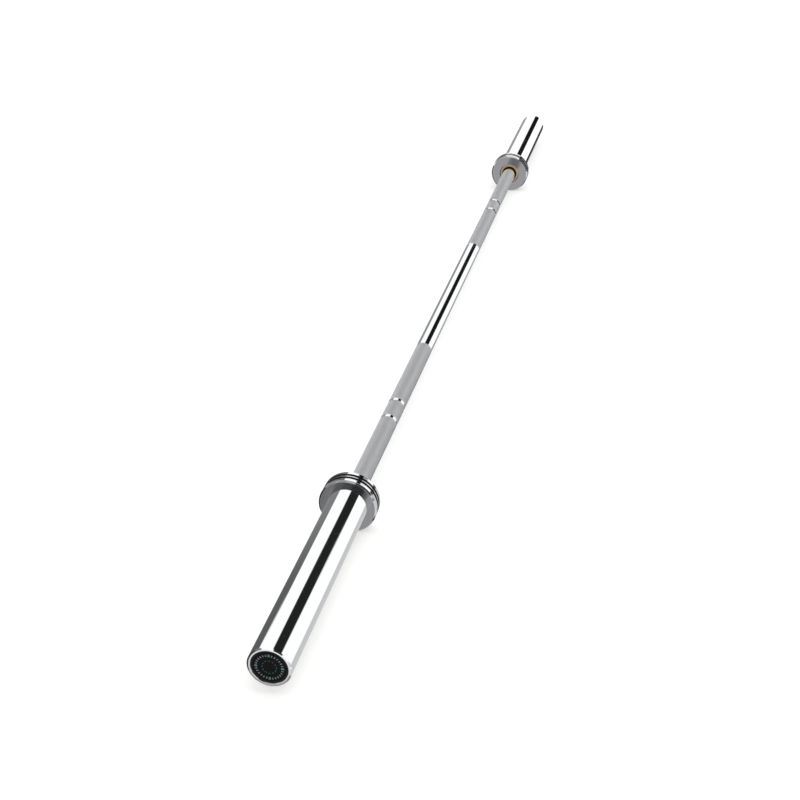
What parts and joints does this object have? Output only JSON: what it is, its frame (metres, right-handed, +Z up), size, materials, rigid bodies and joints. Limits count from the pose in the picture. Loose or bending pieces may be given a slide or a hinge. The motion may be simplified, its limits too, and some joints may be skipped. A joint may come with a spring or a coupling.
{
  "type": "olympic barbell",
  "caption": "Long chromed weightlifting bar: knurled steel shaft with ring marks, and at each end a flanged collar and a plain loading sleeve that spins on bronze bushes.",
  "frame": {"origin": "centre of the shaft, midway between the two collars, on the axis", "axes": "+X along the bar to the right end, +Z up"},
  "size_m": [2.01, 0.075, 0.075],
  "materials": {
    "shaft_chrome": "satin",
    "sleeve_chrome": "polished",
    "collar_steel": "satin",
    "bronze": "satin",
    "spring_steel": "satin",
    "washer_steel": "satin",
    "cap_plastic": "satin",
    "disc_print": "gloss"
  },
  "bodies": {
    "shaft": {"shaft": "shaft_chrome", "left_shoulder_washer": "washer_steel", "left_end_washer": "washer_steel", "left_shaft_circlip": "spring_steel", "right_shoulder_washer": "washer_steel", "right_end_washer": "washer_steel", "right_shaft_circlip": "spring_steel"},
    "left_sleeve": {"left_collar": "collar_steel", "left_sleeve": "sleeve_chrome", "left_inner_bush": "bronze", "left_outer_bush": "bronze", "left_sleeve_circlip": "spring_steel", "left_end_cap": "cap_plastic", "left_cap_disc": "disc_print"},
    "right_sleeve": {"right_collar": "collar_steel", "right_sleeve": "sleeve_chrome", "right_inner_bush": "bronze", "right_outer_bush": "bronze", "right_sleeve_circlip": "spring_steel", "right_end_cap": "cap_plastic", "right_cap_disc": "disc_print"}
  },
  "joints": [
    {"name": "left_sleeve_spin", "type": "hinge", "parent": "shaft", "child": "left_sleeve", "pos_m": [-0.845, 0, 0], "axis": [1, 0, 0], "continuous": true},
    {"name": "right_sleeve_spin", "type": "hinge", "parent": "shaft", "child": "right_sleeve", "pos_m": [0.845, 0, 0], "axis": [1, 0, 0], "continuous": true}
  ]
}
